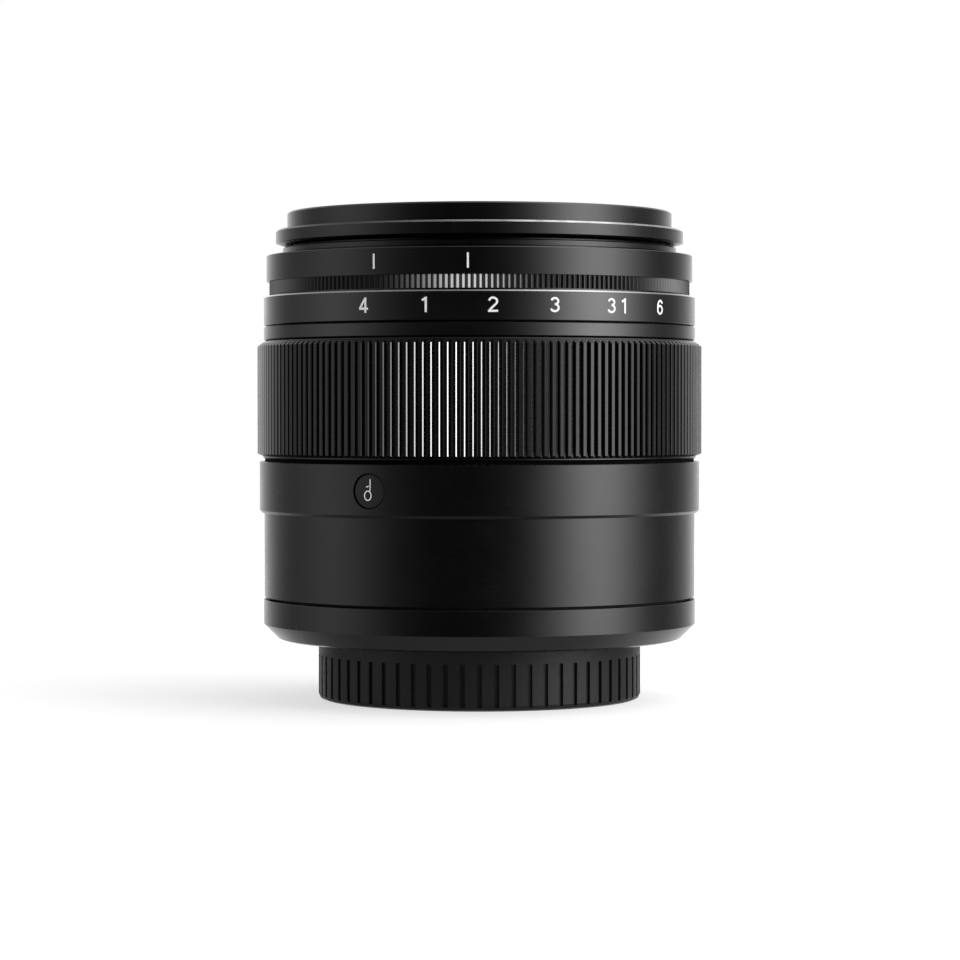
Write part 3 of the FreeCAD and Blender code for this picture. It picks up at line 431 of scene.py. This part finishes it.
def mark(strokes, size, weight, thickness):
    """A mesh of painted strokes, each a list of points and whether it is a ring, in units of size."""
    shape = bmesh.new()
    for number, (points, closed) in enumerate(strokes):
        scaled = [(x * size, y * size) for x, y in points]
        # strokes that cross differ a little in thickness, so that their faces don't coincide
        ribbon(shape, scaled, weight, thickness * (1 - 0.08 * number), closed)
    bmesh.ops.recalc_face_normals(shape, faces=shape.faces)
    mesh = bpy.data.meshes.new("mark")
    shape.to_mesh(mesh)
    shape.free()
    return mesh


def add_piece(name, mesh, body, finish):
    mesh.materials.clear()
    mesh.materials.append(finish)
    piece = bpy.data.objects.new(name, mesh)
    bpy.context.scene.collection.objects.link(piece)
    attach(piece, body)
    return piece


# Generic numerals as strokes in a cell one unit high, centred on the origin
GLYPHS = {
    "1": (([(0.1, -0.5), (0.1, 0.5)], False), ([(-0.16, 0.27), (0.1, 0.42)], False)),
    "2": (
        (arc((0.0, 0.19), 0.26, 0.24, 170, -35) + [(-0.22, -0.36)], False),
        ([(-0.33, -0.43), (0.33, -0.43)], False),
    ),
    "3": (
        (arc((0.0, 0.225), 0.24, 0.205, 165, -90), False),
        (arc((0.0, -0.2), 0.27, 0.23, 90, -165), False),
    ),
    "4": (
        ([(0.14, -0.5), (0.14, 0.5)], False),
        ([(0.12, 0.46), (-0.28, -0.2)], False),
        ([(-0.34, -0.23), (0.33, -0.23)], False),
    ),
    "6": (
        (arc((0.0, -0.17), 0.265, 0.26, 0, 345, 23), True),
        (arc((0.03, 0.0), 0.295, 0.43, 35, 192), False),
    ),
}
# Each digit of the scale and its azimuth
SCALE = (("4", -30.45), ("1", -13.85), ("2", 3.4), ("3", 19.15), ("3", 35.45), ("1", 39.5), ("6", 53.6))
DIGIT_HEIGHT = 2.33 * MM
DIGIT_WEIGHT = 0.33 * MM
DIGIT_RISE = 0.07 * MM
INDEX_AZIMUTHS = (-27.9, -2.9)
INDEX_RISE = 1.98 * MM
INDEX_WEIGHT = 0.3 * MM
INDEX_LINE = (([(0.0, -1.1), (0.0, 1.22)], False),)  # one stroke, in millimetres
PAINT_THICKNESS = 0.04 * MM
PAINT_SINK = 0.01 * MM


def scale_digits(white):
    middle = (SCALE_BAND_BOTTOM + SCALE_BAND_TOP) / 2 + DIGIT_RISE
    for number, (text, azimuth) in enumerate(SCALE):
        mesh = mark(GLYPHS[text], DIGIT_HEIGHT, DIGIT_WEIGHT, PAINT_THICKNESS)
        piece = add_piece("scale_digit_" + str(number + 1), mesh, "aperture_assembly", white)
        wrap(piece, SCALE_BAND_RADIUS - PAINT_SINK, azimuth, middle)


def index_lines(white):
    middle = low("index_ring").z + INDEX_RISE
    for number, azimuth in enumerate(INDEX_AZIMUTHS):
        mesh = mark(INDEX_LINE, MM, INDEX_WEIGHT, PAINT_THICKNESS)
        piece = add_piece("index_line_" + str(number + 1), mesh, "lens_body", white)
        wrap(piece, radius_of("index_ring") - PAINT_SINK, azimuth, middle)


BUTTON_AZIMUTH = -28.4
BUTTON_FACE = radius_of("button_ring") - 0.25 * MM
SIGN_WEIGHT = 0.16 * MM


def button_sign(white):
    """The small sign on the button: a loop with a stem above it and a tick beside the stem."""
    strokes = (
        (arc((-0.25, -0.68), 0.58, 0.72, 90, 435, 23), True),
        ([(0.15, 0.02), (0.15, 1.85)], False),
        ([(-0.55, 0.62), (-0.1, 0.8)], False),
    )
    sign = mark(strokes, MM, SIGN_WEIGHT, PAINT_THICKNESS)
    piece = add_piece("button_sign", sign, "function_button", white)
    middle = (low("function_button").z + high("function_button").z) / 2
    wrap(piece, BUTTON_FACE - PAINT_SINK, BUTTON_AZIMUTH, middle)


DOT_RADIUS = 0.66 * MM
DOT_DEPTH = 0.1 * MM
DOT_DISTANCE = 27.9 * MM
DOT_RECESS = 1.4 * MM
DOT_SINK = 0.04 * MM


def mount_dot(red):
    """Paint in the round recess of the mount's face, which shows when the cap is off."""
    recess_floor = high("mount_flange").z - DOT_RECESS
    shape = bmesh.new()
    bmesh.ops.create_cone(
        shape, cap_ends=True, segments=32, radius1=DOT_RADIUS, radius2=DOT_RADIUS, depth=DOT_DEPTH)
    mesh = bpy.data.meshes.new("mount_dot")
    shape.to_mesh(mesh)
    shape.free()
    mesh.transform(Matrix.Translation((0, -DOT_DISTANCE, recess_floor - DOT_SINK)))
    add_piece("mount_dot", mesh, "lens_body", red)


# Stage and camera


CAMERA_PLACE = (0.00009, -0.5122, 0.04657)
CAMERA_DIP = 1.255
FOCAL_LENGTH = 118.1
SENSOR_WIDTH = 36.0


def camera():
    """The camera stands half a metre away, a little above the lens's middle, and looks slightly down."""
    data = bpy.data.cameras.new("camera")
    data.lens = FOCAL_LENGTH
    data.sensor_width = SENSOR_WIDTH
    data.clip_start = 0.01
    data.clip_end = 20.0
    thing = bpy.data.objects.new("camera", data)
    thing.location = CAMERA_PLACE
    thing.rotation_euler = (math.radians(90 - CAMERA_DIP), 0, 0)
    bpy.context.scene.collection.objects.link(thing)
    bpy.context.scene.camera = thing


def lobe(tree, direction, azimuth, elevation, width, level):
    """A soft round source in the surroundings; azimuth, elevation and half-width in degrees."""
    turn = math.radians(azimuth)
    rise = math.radians(elevation)
    middle = (math.sin(turn) * math.cos(rise), -math.cos(turn) * math.cos(rise), math.sin(rise))
    dot = tree.nodes.new("ShaderNodeVectorMath")
    dot.operation = "DOT_PRODUCT"
    tree.links.new(direction, dot.inputs[0])
    dot.inputs[1].default_value = middle
    # exp(-angle^2 / 2 width^2), with the angle's square taken as 2 - 2 cos
    sharpness = 1.0 / math.radians(width) ** 2
    falling = math_node(tree, "MULTIPLY", math_node(tree, "SUBTRACT", dot.outputs["Value"], 1.0), sharpness)
    return math_node(tree, "MULTIPLY", math_node(tree, "EXPONENT", falling), level)


# Azimuth, elevation, half-width and level of each soft source
SOURCES = (
    (64, 10, 16, 5.3),     # key on the right
    (64, 38, 17, 1.7),     # its upper part
    (108, 60, 15, 3.4),    # high on the right, behind
    (-80, 5, 19, 0.8),     # fill on the left
    (-115, 52, 22, 0.45),  # high on the left
    (180, 5, 25, 1.5),     # white backdrop
    (180, 66, 22, 0.4),    # its upper edge
    (150, -36, 22, 0.55),  # bright floor behind
    (-150, -35, 24, 0.1),  # fainter on the left
    (0, -80, 26, 0.32),    # floor under the lens
)
AMBIENT = 0.01


def surroundings():
    """Soft studio light, plain white as the camera sees it."""
    world = bpy.data.worlds.new("studio")
    bpy.context.scene.world = world
    world.use_nodes = True
    tree = world.node_tree
    tree.nodes.clear()
    direction = tree.nodes.new("ShaderNodeTexCoord").outputs["Generated"]
    total = AMBIENT
    for source in SOURCES:
        total = math_node(tree, "ADD", lobe(tree, direction, *source), total)
    pick = tree.nodes.new("ShaderNodeMix")
    pick.data_type = "FLOAT"
    tree.links.new(tree.nodes.new("ShaderNodeLightPath").outputs["Is Camera Ray"], pick.inputs[0])
    tree.links.new(total, pick.inputs[2])
    pick.inputs[3].default_value = 1.0
    background = tree.nodes.new("ShaderNodeBackground")
    background.inputs["Color"].default_value = grey(1.0)
    tree.links.new(pick.outputs[0], background.inputs["Strength"])
    output = tree.nodes.new("ShaderNodeOutputWorld")
    tree.links.new(background.outputs[0], output.inputs["Surface"])


FLOOR_RADIUS = 0.6
FLOOR_LEVEL = 0.45
FLOOR_GLOW = 0.64


def floor():
    """A round white floor; reflections look through it into the surroundings."""
    shape = bmesh.new()
    bmesh.ops.create_circle(shape, cap_ends=True, segments=96, radius=FLOOR_RADIUS)
    mesh = bpy.data.meshes.new("floor")
    shape.to_mesh(mesh)
    shape.free()
    thing = bpy.data.objects.new("floor", mesh)
    bpy.context.scene.collection.objects.link(thing)
    material = bpy.data.materials.new("white_floor")
    material.use_nodes = True
    tree = material.node_tree
    tree.nodes.clear()
    diffuse = tree.nodes.new("ShaderNodeBsdfDiffuse")
    diffuse.inputs["Color"].default_value = grey(FLOOR_LEVEL)
    glow = tree.nodes.new("ShaderNodeEmission")
    glow.inputs["Strength"].default_value = FLOOR_GLOW
    both = tree.nodes.new("ShaderNodeAddShader")
    tree.links.new(diffuse.outputs[0], both.inputs[0])
    tree.links.new(glow.outputs[0], both.inputs[1])
    clear = tree.nodes.new("ShaderNodeBsdfTransparent")
    pick = tree.nodes.new("ShaderNodeMixShader")
    tree.links.new(tree.nodes.new("ShaderNodeLightPath").outputs["Is Glossy Ray"], pick.inputs[0])
    tree.links.new(both.outputs[0], pick.inputs[1])
    tree.links.new(clear.outputs[0], pick.inputs[2])
    output = tree.nodes.new("ShaderNodeOutputMaterial")
    tree.links.new(pick.outputs[0], output.inputs["Surface"])
    mesh.materials.append(material)


scene = bpy.context.scene
scene.view_settings.view_transform = "Standard"
scene.cycles.max_bounces = 20
scene.cycles.transmission_bounces = 20
camera()
surroundings()
floor()
finish_nodes()
white_paint = paint("white_paint", (0.9, 0.9, 0.89))
scale_digits(white_paint)
index_lines(white_paint)
button_sign(white_paint)
mount_dot(paint("red_paint", (0.62, 0.03, 0.025)))
